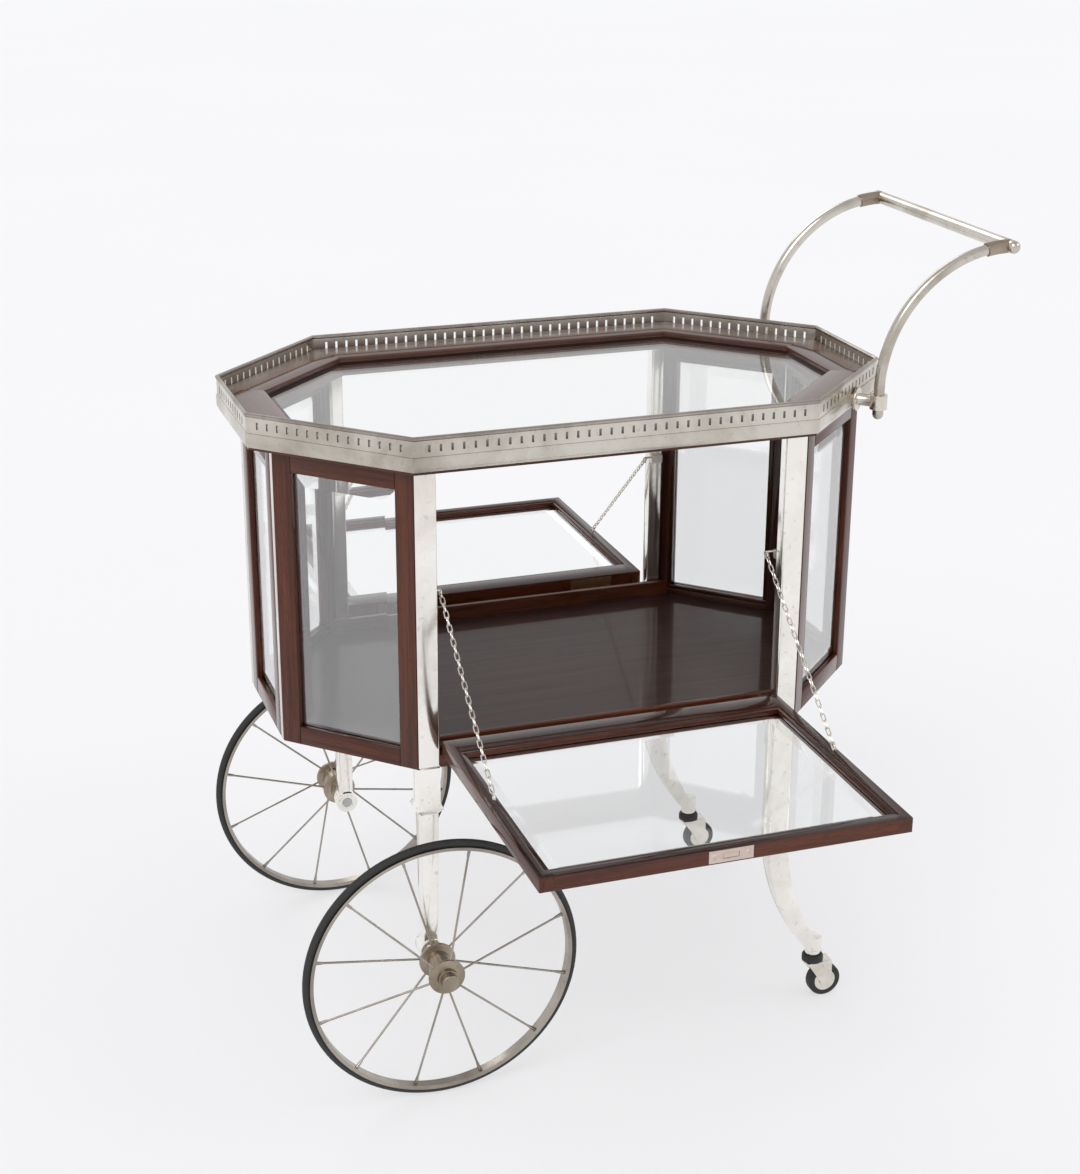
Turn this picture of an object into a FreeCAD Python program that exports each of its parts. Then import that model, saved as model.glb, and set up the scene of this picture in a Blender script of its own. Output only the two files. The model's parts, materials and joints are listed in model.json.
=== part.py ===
import FreeCAD, Part
import math
import os

from FreeCAD import Vector

# An octagonal bar cart: a glazed mahogany cabinet with plated posts and gallery, a fall flap at the
# front and at the back held level by chains, two spoked wheels, two swivel casters and a push handle.
# Lengths are in millimetres and angles in degrees. X runs along the cart towards the handle, Y from
# front to back and Z up from the floor. The pieces are drawn about the middle of the cabinet and are
# moved, as they are written, so that the origin is under the middle of the whole cart.

# Cabinet plan, an octagon whose canted corners run equally along X and Y
body_half_length = 335.0
body_half_depth = 201.0
cant_run = 118.0

# Cabinet heights
base_underside = 372.0
cabinet_height = 319.3

# How far a cut runs past the faces that it goes through
overrun = 2.0

# Floor board, the stops and sills in front of and behind it, and the battens under it
floor_thickness = 9.0
sill_thickness = 12.0
stop_width = 7.0
stop_rise = 17.5
batten_width = 50.0
batten_thickness = 10.0
batten_inset = 18.0
batten_setback = 20.0

# Posts: wide ones beside the flaps, slim ones beside the end panels
post_width = 24.0
post_setback = 1.0
end_post_width = 12.0

# Glazed panels
frame_thickness = 16.0
stile_width = 22.0
rail_width = 22.0
base_rail_width = 21.0
lip_thickness = 6.0
rebate_width = 5.0
pane_thickness = 4.0
pane_edge = 2.0
bevel_width = 14.0
pane_clearance = 0.3
bead_recess = 1.0

# Fall flaps
flap_thickness = 16.0
flap_side_gap = 1.0
flap_top_gap = 1.3
flap_stile_width = 15.0
flap_rail_width = 16.0
hinge_rail_width = 34.0

# Butt hinges of the flaps
leaf_thickness = 1.0
leaf_gap = 0.1
leaf_depth = 14.0
leaf_length = 54.0
knuckle_stand = 3.2
knuckle_radius = 2.5
pin_radius = 1.2
pin_clearance = 0.05
knuckle_gap = 0.3
hinge_inset = 68.0

# Lock in the middle of each flap's free edge, and its strike under the top
lock_width = 40.0
lock_depth = 9.5
lock_thickness = 10.0
selvedge_thickness = 1.5
selvedge_margin = 3.0
bolt_width = 16.0
bolt_thickness = 5.0
bolt_length = 8.0
bolt_throw = 5.0
bolt_clearance = 0.3
strike_clearance = 1.0

# Chains, with their hooks on the posts and their eyes on the flaps
hook_rise = 175.0
hook_block_depth = 6.0
hook_block_height = 10.0
hook_block_width = 14.0
hook_reach = 9.0
hook_stand = 4.5
hook_bar_radius = 1.2
eye_reach = 155.0
eye_radius = 3.0
eye_wire = 0.9
eye_shank_length = 3.0
eye_shank_share = 0.8
link_pitch = 8.0
link_width = 5.6
link_wire = 0.7
link_slack = 0.2

# Top: border boards on bearer boards, with a plate of glass let in
side_overhang = 16.0
end_overhang = 25.0
cant_overhang = 14.0
border_width = 50.0
border_thickness = 12.0
bearer_thickness = 12.0
glass_ledge = 8.0
glass_thickness = 6.0
glass_clearance = 0.5

# Plated edge band and pierced gallery round the top
band_thickness = 3.0
band_lift = 3.0
band_foot = 1.5
band_cove = 4.0
gallery_height = 14.0
gallery_skirt = 5.0
gallery_wall = 2.0
gallery_rail_radius = 2.2
slot_pitch = 12.0
slot_width = 2.6
slot_height = 8.0
slot_margin = 8.0

# Push handle
handle_half_width = 150.0
handle_arc_radius = 148.0
arm_radius = 6.0
arm_offset = 26.0
arm_foot = 14.0
grip_radius = 7.2
grip_overhang = 8.0
ferrule_wall = 1.6
ferrule_angle = 11.0
fit_clearance = 0.05
bracket_flange_radius = 13.0
bracket_flange_thickness = 3.0
bracket_stud_radius = 6.5
bracket_collar_radius = 9.5
bracket_collar_height = 16.0
bracket_screw_radius = 2.4
bracket_screw_height = 1.4
bracket_screw_share = 0.75

# Legs
leg_block_height = 42.0
collar_height = 12.0
collar_proud = 3.0
leg_waist = 20.0
leg_ankle = 16.0
axle_boss_radius = 13.0
axle_boss_half = 12.0
sabre_thickness = 20.0
sabre_straight = 100.0
sabre_toe_width = 17.0

# Spoked wheels on stub axles
wheel_radius = 153.0
tyre_section = 4.5
rim_thickness = 4.0
rim_half_width = 6.5
rim_throat_share = 0.85
spoke_count = 12
spoke_start = 13.0
spoke_radius = 1.2
spoke_bite = 1.5
hub_half = 26.0
hub_barrel = 14.5
hub_waist = 12.5
hub_nose = 11.0
hub_flange = 20.0
hub_flange_thickness = 4.0
hub_flange_place = 18.0
axle_radius = 6.0
axle_clearance = 0.05
axle_collar = 9.0
axle_shoulder = 10.7
hub_end_play = 0.3
nut_radius = 9.5
nut_length = 8.0
nut_wall = 2.5

# Swivel casters
caster_reach = 57.0
caster_trail = 15.0
caster_wheel_radius = 20.0
caster_wheel_width = 12.0
caster_core_radius = 13.0
caster_axle_radius = 3.0
caster_cheek_thickness = 2.5
caster_cheek_gap = 0.8
caster_cheek_radius = 7.0
caster_bridge = 4.0
caster_bridge_gap = 3.0
caster_stem_radius = 5.0
caster_stem_length = 28.0
caster_socket_radius = 9.5
caster_socket_length = 32.0
swivel_gap = 0.3

# Sizes that follow from those above
front_half = body_half_length - cant_run
body_plan = (body_half_length, body_half_depth, front_half + body_half_depth)
top_plan = (
    body_half_length + end_overhang,
    body_half_depth + side_overhang,
    front_half + body_half_depth + cant_overhang * math.sqrt(2),
)
mitre_lead = math.tan(math.radians(45 / 2))
sill_top = base_underside + sill_thickness
hinge_height = sill_top + leaf_thickness + leaf_gap
hinge_y = -(body_half_depth + knuckle_stand)
floor_top = base_underside + floor_thickness
top_underside = floor_top + cabinet_height
bearer_top = top_underside + bearer_thickness
top_surface = bearer_top + border_thickness
band_top = top_surface - gallery_skirt
gallery_top = top_surface + gallery_height
post_depth = flap_thickness + post_setback
flap_bottom = hinge_height + leaf_gap + leaf_thickness
flap_top = top_underside - flap_top_gap
leg_x = front_half - post_width / 2
leg_y = body_half_depth - post_width / 2
wheel_mid = leg_y + axle_boss_half + axle_shoulder + hub_end_play + hub_half
bracket_height = (top_underside + band_lift + band_top) / 2
arm_x = top_plan[2] + arm_offset * math.sqrt(2) - handle_half_width
arc_start = bracket_height + arm_foot
grip_x = arm_x + handle_arc_radius
grip_height = arc_start + handle_arc_radius
caster_x = leg_x + caster_reach
caster_fork_top = caster_wheel_radius * 2 + caster_bridge_gap + caster_bridge
gallery_mid = band_thickness - gallery_wall / 2
top_reach = top_plan[0] - gallery_mid + gallery_rail_radius
origin_x = (grip_x + grip_radius - top_reach) / 2

SIDE_NAMES = [
    "front",
    "front right cant",
    "right end",
    "back right cant",
    "back",
    "back left cant",
    "left end",
    "front left cant",
]
FRONT = SIDE_NAMES.index("front")
BACK = SIDE_NAMES.index("back")
CANTED = [side for side, name in enumerate(SIDE_NAMES) if "cant" in name]
ENDS = [side for side, name in enumerate(SIDE_NAMES) if "end" in name]
SIDES = range(len(SIDE_NAMES))
X_AXIS = Vector(1, 0, 0)
Y_AXIS = Vector(0, 1, 0)
Z_AXIS = Vector(0, 0, 1)
ORIGIN = Vector(0, 0, 0)


def octagon(plan, inset):
    """Corners of a plan octagon, set in from its sides, anticlockwise from the front left."""
    length = plan[0] - inset
    depth = plan[1] - inset
    reach = plan[2] - inset * math.sqrt(2)
    side = reach - depth
    end = reach - length
    right = [(side, -depth), (length, -end), (length, end), (side, depth)]
    left = [(-side, depth), (-length, end), (-length, -end), (-side, -depth)]
    return [Vector(x, y, 0) for x, y in left[3:] + right + left[:3]]


def side_length(plan, side):
    corners = octagon(plan, 0)
    return corners[(side + 1) % 8].distanceToPoint(corners[side])


def spot(plan, side, along, inset, height):
    """A point on one side: so far along it, set in from its face, at a height."""
    corners = octagon(plan, 0)
    direction = (corners[(side + 1) % 8] - corners[side]).normalize()
    inward = Z_AXIS.cross(direction)
    return corners[side] + direction * along + inward * inset + Z_AXIS * height


def face_of(points):
    return Part.Face(Part.makePolygon(points + points[:1]))


def prism(points, height):
    """A solid raised straight up from a level outline."""
    return face_of(points).extrude(Z_AXIS * height)


def block(low, high):
    size = high - low
    return Part.makeBox(size.x, size.y, size.z, low)


def rod(start, end, radius):
    return Part.makeCylinder(radius, start.distanceToPoint(end), start, end - start)


def slab(plan, side, along, inset, heights):
    """A block square to one side, between two values along it, in from it and up it."""
    outline = [
        spot(plan, side, along[0], inset[0], heights[0]),
        spot(plan, side, along[1], inset[0], heights[0]),
        spot(plan, side, along[1], inset[1], heights[0]),
        spot(plan, side, along[0], inset[1], heights[0]),
    ]
    return prism(outline, heights[1] - heights[0])


def upright(side, along, depth, heights, mitres):
    """A post or stile of the cabinet, with a mitre where it meets a corner of the octagon."""
    lead = [mitre_lead * depth if mitre else 0 for mitre in mitres]
    outline = [
        spot(body_plan, side, along[0], 0, heights[0]),
        spot(body_plan, side, along[1], 0, heights[0]),
        spot(body_plan, side, along[1] - lead[1], depth, heights[0]),
        spot(body_plan, side, along[0] + lead[0], depth, heights[0]),
    ]
    return prism(outline, heights[1] - heights[0])


def mitred_side(plan, side, profile):
    """One length of a moulding, mitred at both corners, from a profile of (inset, height) points."""
    ends = []
    for corner in (side, (side + 1) % 8):
        points = [octagon(plan, inset)[corner] + Z_AXIS * height for inset, height in profile]
        ends.append(Part.makePolygon(points + points[:1]))
    return Part.makeLoft(ends, True, True)


def ring_of(plan, profile):
    return [mitred_side(plan, side, profile) for side in SIDES]


def board_profile(outer, inner, low, high):
    return [(outer, low), (inner, low), (inner, high), (outer, high)]


def turned(points):
    """A solid of revolution about Y from (radius, place along Y) points."""
    outline = [Vector(radius, place, 0) for radius, place in points]
    return face_of(outline).revolve(ORIGIN, Y_AXIS, 360)


def pipe(edges, radius):
    """A round bar along a path of tangent edges."""
    path = Part.Wire(edges)
    first = edges[0]
    start = first.valueAt(first.FirstParameter)
    circle = Part.Wire(Part.makeCircle(radius, start, first.tangentAt(first.FirstParameter)))
    return path.makePipeShell([circle], True, True)


def to_back(shape):
    """The same piece on the back of the cart."""
    return shape.mirror(ORIGIN, Y_AXIS)


def to_other_side(shape):
    """The same piece beyond the middle of the cart's length."""
    return shape.mirror(ORIGIN, X_AXIS)


def front_and_back(shapes):
    return shapes + [to_back(shape) for shape in shapes]


def all_four(shape):
    return front_and_back([shape, to_other_side(shape)])


def opened(shape):
    """A piece of the front flap, drawn with the flap shut, laid out level."""
    turned_shape = shape.copy()
    turned_shape.rotate(Vector(0, hinge_y, hinge_height), X_AXIS, 90)
    return turned_shape


# Glazed panels


def panel_frame(side, along, heights, sight, thickness, mitred):
    """Two stiles and two rails round the opening that shows the pane, rebated from the inside."""
    (left, right), (low, high) = sight
    members = [
        upright(side, (along[0], left), thickness, heights, (mitred, False)),
        upright(side, (right, along[1]), thickness, heights, (False, mitred)),
        slab(body_plan, side, (left, right), (0, thickness), (heights[0], low)),
        slab(body_plan, side, (left, right), (0, thickness), (high, heights[1])),
    ]
    rebate = slab(
        body_plan,
        side,
        (left - rebate_width, right + rebate_width),
        (lip_thickness, thickness + overrun),
        (low - rebate_width, high + rebate_width),
    )
    return [member.cut(rebate) for member in members]


def pane_levels():
    """Insets of the pane's raised face, its border and its back."""
    rise = pane_thickness - pane_edge
    border = lip_thickness + rise * rebate_width / (rebate_width + bevel_width) + pane_clearance
    return border - rise, border, border + pane_edge


def panel_pane(side, sight):
    """A bevelled pane, whose border lies behind the lips of the frame."""
    (left, right), (low, high) = sight
    raised, border, back = pane_levels()
    loops = []
    for inset, margin in ((back, -rebate_width), (border, -rebate_width), (raised, bevel_width)):
        gap = pane_clearance + margin
        corners = [
            spot(body_plan, side, left + gap, inset, low + gap),
            spot(body_plan, side, right - gap, inset, low + gap),
            spot(body_plan, side, right - gap, inset, high - gap),
            spot(body_plan, side, left + gap, inset, high - gap),
        ]
        loops.append(Part.makePolygon(corners + corners[:1]))
    return Part.makeLoft(loops, True, True)


def panel_beads(side, sight, thickness):
    """Four strips that hold the pane in its rebate."""
    (left, right), (low, high) = sight
    depth = (pane_levels()[2], thickness - bead_recess)
    wide = (left - rebate_width, right + rebate_width)
    return [
        slab(body_plan, side, wide, depth, (low - rebate_width, low)),
        slab(body_plan, side, wide, depth, (high, high + rebate_width)),
        slab(body_plan, side, (left - rebate_width, left), depth, (low, high)),
        slab(body_plan, side, (right, right + rebate_width), depth, (low, high)),
    ]


def fixed_panel_span(side):
    """Where a fixed panel starts and stops along its side, and whether its stiles are mitred."""
    length = side_length(body_plan, side)
    if side in ENDS:
        return (end_post_width, length - end_post_width), False
    return (0, length), True


def fixed_panels(sides):
    """Frames, panes and beads of the fixed panels on some sides."""
    heights = (base_underside, top_underside)
    frames, panes, beads = [], [], []
    for side in sides:
        along, mitred = fixed_panel_span(side)
        levels = (base_underside + base_rail_width, top_underside - rail_width)
        sight = (along[0] + stile_width, along[1] - stile_width), levels
        frames += panel_frame(side, along, heights, sight, frame_thickness, mitred)
        panes.append(panel_pane(side, sight))
        beads += panel_beads(side, sight, frame_thickness)
    return frames, panes, beads


# Base, posts and legs


def inside_plan(half_depth):
    """The octagon within the panels, cut off in front and behind at a half depth."""
    return (body_half_length - frame_thickness, half_depth, body_plan[2] - frame_thickness * math.sqrt(2))


def floor_board():
    plan = inside_plan(body_half_depth - post_depth - stop_width)
    outline = [corner + Z_AXIS * base_underside for corner in octagon(plan, 0)]
    return prism(outline, floor_thickness)


def flap_stop():
    """A strip between the floor and a sill, for the shut flap to come up against."""
    inner = body_half_depth - post_depth
    half = inside_plan(inner)[2] - inner
    outline = [
        Vector(-half, -inner, base_underside),
        Vector(half, -inner, base_underside),
        Vector(half + stop_width, stop_width - inner, base_underside),
        Vector(-half - stop_width, stop_width - inner, base_underside),
    ]
    return prism(outline, floor_thickness + stop_rise)


def base_rails():
    """Sills that the shut flaps stand over, stops behind them, and the battens that cross under the floor."""
    half = front_half - post_width
    inner = body_half_depth - post_depth
    sill = block(Vector(-half, -body_half_depth, base_underside), Vector(half, -inner, sill_top))
    reach = inner - batten_setback
    outer = half - batten_inset
    batten = block(
        Vector(outer - batten_width, -reach, base_underside - batten_thickness),
        Vector(outer, reach, base_underside),
    )
    return front_and_back([sill, flap_stop()]) + [batten, to_other_side(batten)]


def corner_posts():
    heights = (base_underside, top_underside)
    post = upright(FRONT, (0, post_width), post_depth, heights, (True, False))
    return all_four(post)


def end_posts():
    heights = (base_underside, top_underside)
    post = upright(ENDS[0], (0, end_post_width), frame_thickness, heights, (True, False))
    return all_four(post)


def square_loop(x, y, width, height):
    half = width / 2
    corners = [(-half, -half), (half, -half), (half, half), (-half, half)]
    points = [Vector(x + dx, y + dy, height) for dx, dy in corners]
    return Part.makePolygon(points + points[:1])


def leg_block(x):
    half = post_width / 2
    low = base_underside - leg_block_height
    return block(Vector(x - half, -leg_y - half, low), Vector(x + half, -leg_y + half, base_underside))


def leg_collar(x):
    """A moulded collar, widest in the middle, under the leg's block."""
    high = base_underside - leg_block_height
    wide = post_width + collar_proud * 2
    loops = [
        square_loop(x, -leg_y, post_width, high),
        square_loop(x, -leg_y, wide, high - collar_height / 2),
        square_loop(x, -leg_y, leg_waist, high - collar_height),
    ]
    return Part.makeLoft(loops, True, True)


def wheel_leg():
    """Front leg at the wheel end: block, collar, taper and the boss that holds the stub axle."""
    x = -leg_x
    high = base_underside - leg_block_height - collar_height
    taper = Part.makeLoft(
        [square_loop(x, -leg_y, leg_waist, high), square_loop(x, -leg_y, leg_ankle, wheel_radius)],
        True,
        True,
    )
    boss_start = Vector(x, -leg_y - axle_boss_half, wheel_radius)
    boss_end = Vector(x, -leg_y + axle_boss_half, wheel_radius)
    leg = leg_block(x).multiFuse([leg_collar(x), taper, rod(boss_start, boss_end, axle_boss_radius)])
    past = Y_AXIS * overrun
    return leg.cut(rod(boss_start - past, boss_end + past, axle_radius + axle_clearance))


def curve_down(start, end):
    """An arc that leaves its start straight down and reaches its end further along X."""
    chord = end - start
    lean = chord.getAngle(-Z_AXIS)
    sag = chord.Length / 2 * math.tan(lean / 2)
    bow = Y_AXIS.cross(chord).normalize() * sag
    return Part.Arc(start, (start + end) / 2 + bow, end).toShape()


def caster_leg():
    """Front leg at the caster end: a block, then a sabre curve out to the caster's socket."""
    half = post_width / 2
    top = base_underside - leg_block_height
    knee = top - sabre_straight
    toe = caster_fork_top + swivel_gap + caster_socket_length / 2
    face = -leg_y - sabre_thickness / 2
    sole = sabre_toe_width / 2
    inner_knee = Vector(leg_x - half, face, knee)
    outer_knee = Vector(leg_x + half, face, knee)
    inner_toe = Vector(caster_x - sole, face, toe)
    outer_toe = Vector(caster_x + sole, face, toe)
    inner_top = Vector(leg_x - half, face, top)
    outer_top = Vector(leg_x + half, face, top)
    edges = [
        Part.LineSegment(inner_top, inner_knee).toShape(),
        curve_down(inner_knee, inner_toe),
        Part.LineSegment(inner_toe, outer_toe).toShape(),
        curve_down(outer_knee, outer_toe),
        Part.LineSegment(outer_knee, outer_top).toShape(),
        Part.LineSegment(outer_top, inner_top).toShape(),
    ]
    outline = Part.Wire(Part.__sortEdges__(edges))
    sabre = Part.Face(outline).extrude(Y_AXIS * sabre_thickness)
    foot = Vector(caster_x, -leg_y, caster_fork_top + swivel_gap)
    socket = Part.makeCylinder(caster_socket_radius, caster_socket_length, foot)
    bore = Part.makeCylinder(
        caster_stem_radius + fit_clearance, caster_stem_length + overrun, foot - Z_AXIS * overrun
    )
    return leg_block(leg_x).multiFuse([sabre, socket]).cut(bore)


# Top, edge band and gallery


def strike_place():
    """The middle of the shut flap's bolt, on the underside of the top."""
    return Vector(0, -body_half_depth + flap_thickness / 2, top_underside)


def strike_block(width, depth, height):
    place = strike_place()
    half = Vector(width / 2, depth / 2, 0)
    return block(place - half, place + half + Z_AXIS * height)


def strike_plate():
    plate = strike_block(
        lock_width + selvedge_margin * 2, lock_thickness + selvedge_margin * 2, selvedge_thickness
    )
    return plate.cut(strike_pocket())


def strike_pocket():
    """Room in the top for the thrown bolt."""
    pocket = strike_block(
        bolt_width + strike_clearance * 2, bolt_thickness + strike_clearance * 2, bolt_throw
    )
    pocket.translate(-Z_AXIS * overrun / 2)
    return pocket


def top_bearers():
    """Lower boards of the top, which the plate of glass rests on."""
    profile = board_profile(band_thickness, border_width + glass_ledge, top_underside, bearer_top)
    boards = ring_of(top_plan, profile)
    cut = strike_pocket().fuse(strike_plate())
    boards[FRONT] = boards[FRONT].cut(cut)
    boards[BACK] = boards[BACK].cut(to_back(cut))
    return boards


def top_border():
    return ring_of(top_plan, board_profile(band_thickness, border_width, bearer_top, top_surface))


def top_glass():
    outline = octagon(top_plan, border_width + glass_clearance)
    return prism([corner + Z_AXIS * bearer_top for corner in outline], glass_thickness)


def edge_band():
    low = top_underside + band_lift
    profile = [
        (band_thickness, low),
        (band_foot, low),
        (0, low + band_cove),
        (0, band_top),
        (band_thickness, band_top),
    ]
    return ring_of(top_plan, profile)


def gallery_walls():
    """Eight thin walls round the top, each pierced by a row of upright slots."""
    inner = band_thickness
    outer = inner - gallery_wall
    high = gallery_top - gallery_rail_radius
    middle = (band_top + high) / 2
    through = (outer - overrun, inner + overrun)
    rows = (middle - slot_height / 2, middle + slot_height / 2)
    walls = []
    for side in SIDES:
        wall = mitred_side(top_plan, side, board_profile(outer, inner, band_top, high))
        length = side_length(top_plan, side)
        count = int((length - slot_margin * 2) // slot_pitch)
        first = (length - (count - 1) * slot_pitch) / 2
        slots = []
        for index in range(count):
            centre = first + index * slot_pitch
            along = (centre - slot_width / 2, centre + slot_width / 2)
            slots.append(slab(top_plan, side, along, through, rows))
        walls.append(wall.cut(slots))
    return walls


def gallery_rails():
    """A bead along the top of the gallery, eight-sided in section."""
    centre = gallery_top
    profile = []
    for step in range(8):
        angle = math.radians(45 * step + 45 / 2)
        reach = gallery_rail_radius / math.cos(math.radians(45 / 2))
        profile.append((gallery_mid + reach * math.cos(angle), centre + reach * math.sin(angle)))
    return ring_of(top_plan, profile)


# Push handle


def arm_path(first_angle):
    """The arm's curve from an angle above its start to the grip, as an arc."""
    centre = Vector(grip_x, -handle_half_width, arc_start)
    points = []
    for angle in (first_angle, (first_angle + 90) / 2, 90):
        turn = math.radians(angle)
        reach = Vector(-math.cos(turn), 0, math.sin(turn))
        points.append(centre + reach * handle_arc_radius)
    return Part.Arc(*points).toShape()


def grip():
    half = handle_half_width + grip_overhang
    start = Vector(grip_x, -half, grip_height)
    end = Vector(grip_x, half, grip_height)
    ends = [Part.makeSphere(grip_radius, point) for point in (start, end)]
    return rod(start, end, grip_radius).multiFuse(ends)


def handle_arm():
    foot = Vector(arm_x, -handle_half_width, bracket_height - arm_foot)
    bend = Vector(arm_x, -handle_half_width, arc_start)
    bar = pipe([Part.LineSegment(foot, bend).toShape(), arm_path(0)], arm_radius)
    knob = Part.makeSphere(arm_radius, foot)
    return bar.fuse(knob).cut(grip())


def ferrule():
    """A dark sleeve on the arm, next to the grip."""
    path = arm_path(90 - ferrule_angle)
    sleeve = pipe([path], arm_radius + ferrule_wall)
    return sleeve.cut([pipe([arm_path(90 - ferrule_angle * 2)], arm_radius + fit_clearance), grip()])


def bracket_direction():
    """Outwards from the canted side of the top at the front right."""
    return Vector(math.sqrt(0.5), -math.sqrt(0.5), 0)


def bracket():
    """A flange on the edge band, a stud and the collar that holds the arm."""
    out = bracket_direction()
    axis = Vector(arm_x, -handle_half_width, bracket_height)
    seat = axis - out * arm_offset
    flange = rod(seat, seat + out * bracket_flange_thickness, bracket_flange_radius)
    stud = rod(seat, axis, bracket_stud_radius)
    half = Z_AXIS * bracket_collar_height / 2
    collar = rod(axis - half, axis + half, bracket_collar_radius)
    past = Z_AXIS * overrun
    bore = rod(axis - half - past, axis + half + past, arm_radius + fit_clearance)
    return flange.multiFuse([stud, collar]).cut(bore)


def bracket_screws():
    """Two round heads on the flange, level with its middle."""
    out = bracket_direction()
    seat = Vector(arm_x, -handle_half_width, bracket_height) - out * (arm_offset - bracket_flange_thickness)
    across = Z_AXIS.cross(out) * bracket_flange_radius * bracket_screw_share
    heads = []
    for place in (seat + across, seat - across):
        heads.append(rod(place, place + out * bracket_screw_height, bracket_screw_radius))
    return heads


# Fall flaps, drawn shut at the front


def flap_span():
    gap = post_width + flap_side_gap
    return gap, side_length(body_plan, FRONT) - gap


def flap_sight():
    """The opening of the flap's frame that shows its pane."""
    left, right = flap_span()
    along = left + flap_stile_width, right - flap_stile_width
    return along, (flap_bottom + hinge_rail_width, flap_top - flap_rail_width)


def flap_frame():
    frame = panel_frame(FRONT, flap_span(), (flap_bottom, flap_top), flap_sight(), flap_thickness, False)
    return [member.cut(lock_solid()) for member in frame]


def flap_pane():
    return panel_pane(FRONT, flap_sight())


def flap_beads():
    return panel_beads(FRONT, flap_sight(), flap_thickness)


def edge_block(width, depth, low):
    """A block let into the middle of the flap's free edge, from a height up to the edge."""
    middle = Vector(0, -body_half_depth + flap_thickness / 2, low)
    half = Vector(width / 2, depth / 2, 0)
    return block(middle - half, middle + half + Z_AXIS * (flap_top - low))


def lock_solid():
    case = edge_block(lock_width, lock_thickness, flap_top - lock_depth)
    wide = lock_width + selvedge_margin * 2
    deep = lock_thickness + selvedge_margin * 2 - selvedge_thickness * 2
    return case.fuse(edge_block(wide, deep, flap_top - selvedge_thickness))


def lock_case():
    room = bolt_clearance * 2
    low = flap_top - bolt_length - room
    cavity = edge_block(bolt_width + room, bolt_thickness + room, low)
    mouth = cavity.copy()
    mouth.translate(Z_AXIS * overrun)
    return lock_solid().cut(cavity.fuse(mouth))


def lock_bolt():
    bolt = edge_block(bolt_width, bolt_thickness, flap_top - bolt_length)
    bolt.translate(-Z_AXIS * bolt_clearance)
    return bolt


def chain_eye():
    """A screw eye on the middle of the flap's left stile, in the shut position."""
    along = flap_span()[0] + flap_stile_width / 2
    height = hinge_height + eye_reach
    foot = spot(body_plan, FRONT, along, flap_thickness, height)
    ring_centre = foot + Y_AXIS * (eye_shank_length + eye_radius)
    shank = rod(foot, foot + Y_AXIS * eye_shank_length, eye_wire * eye_shank_share)
    return shank.fuse(Part.makeTorus(eye_radius, eye_wire, ring_centre, X_AXIS)), ring_centre


def chain_hook():
    """A block on the back of the left post, with a bar from it to a ring beside the opening's edge."""
    along = (post_width - hook_block_width, post_width)
    inset = (post_depth, post_depth + hook_block_depth)
    height = hinge_height + hook_rise
    half = hook_block_height / 2
    holder = slab(body_plan, FRONT, along, inset, (height - half, height + half))
    ring_centre = spot(body_plan, FRONT, post_width + hook_reach, post_depth + hook_stand, height)
    ring = Part.makeTorus(eye_radius, eye_wire, ring_centre, X_AXIS)
    bar_end = ring_centre + Z_AXIS * eye_radius
    bar = rod(bar_end - X_AXIS * (hook_reach + hook_block_width / 2), bar_end, hook_bar_radius)
    return holder.multiFuse([bar, ring]), ring_centre


def link(pitch):
    """One chain link along X in the XY plane: two straight wires and two half rings."""
    bend = link_width / 2 - link_wire
    half = (pitch + link_slack) / 2 + link_wire - bend
    corners = [Vector(-half, -bend, 0), Vector(half, -bend, 0), Vector(half, bend, 0), Vector(-half, bend, 0)]
    edges = [
        Part.LineSegment(corners[0], corners[1]).toShape(),
        Part.Arc(corners[1], Vector(half + bend, 0, 0), corners[2]).toShape(),
        Part.LineSegment(corners[2], corners[3]).toShape(),
        Part.Arc(corners[3], Vector(-half - bend, 0, 0), corners[0]).toShape(),
    ]
    return pipe(edges, link_wire)


def chain(start, end):
    """Links turned a quarter each, pulled straight from one ring to another."""
    run = end - start
    direction = Vector(run).normalize()
    first = eye_radius - eye_wire - link_wire - link_slack
    spare = first * 2 + link_wire * 2 + link_slack
    count = 2 * round((run.Length - spare) / link_pitch / 2) + 1
    pitch = (run.Length - spare) / count
    shape = link(pitch)
    aim = FreeCAD.Rotation(X_AXIS, direction)
    aim = aim.multiply(roll_to_level(aim))
    links = []
    for index in range(count):
        place = start + direction * (first + link_wire + (pitch + link_slack) / 2 + pitch * index)
        roll = FreeCAD.Rotation(X_AXIS, 90 * (index % 2))
        copy = shape.copy()
        copy.Placement = FreeCAD.Placement(place, aim.multiply(roll))
        links.append(copy)
    return links


def roll_to_level(aim):
    """The roll about a chain that brings its first link's width level with X."""
    across = aim.inverted().multVec(X_AXIS)
    return FreeCAD.Rotation(X_AXIS, math.degrees(math.atan2(across.z, across.y)))


def front_chains():
    eye_centre = opened(Part.Vertex(chain_eye()[1])).Point
    links = chain(chain_hook()[1], eye_centre)
    return links + [to_other_side(shape) for shape in links]


# Butt hinges at the front


def hinge_middle():
    return Vector(front_half - post_width - hinge_inset, hinge_y, hinge_height)


def knuckle(start_share, stop_share):
    """Part of the hinge's barrel, between two shares of its length."""
    middle = hinge_middle()
    start = middle + X_AXIS * leaf_length * (start_share - 0.5) + X_AXIS * knuckle_gap / 2
    end = middle + X_AXIS * leaf_length * (stop_share - 0.5) - X_AXIS * knuckle_gap / 2
    return rod(start, end, knuckle_radius)


def hinge_bore():
    middle = hinge_middle()
    reach = X_AXIS * (leaf_length / 2 + overrun)
    return rod(middle - reach, middle + reach, pin_radius + pin_clearance)


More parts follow.
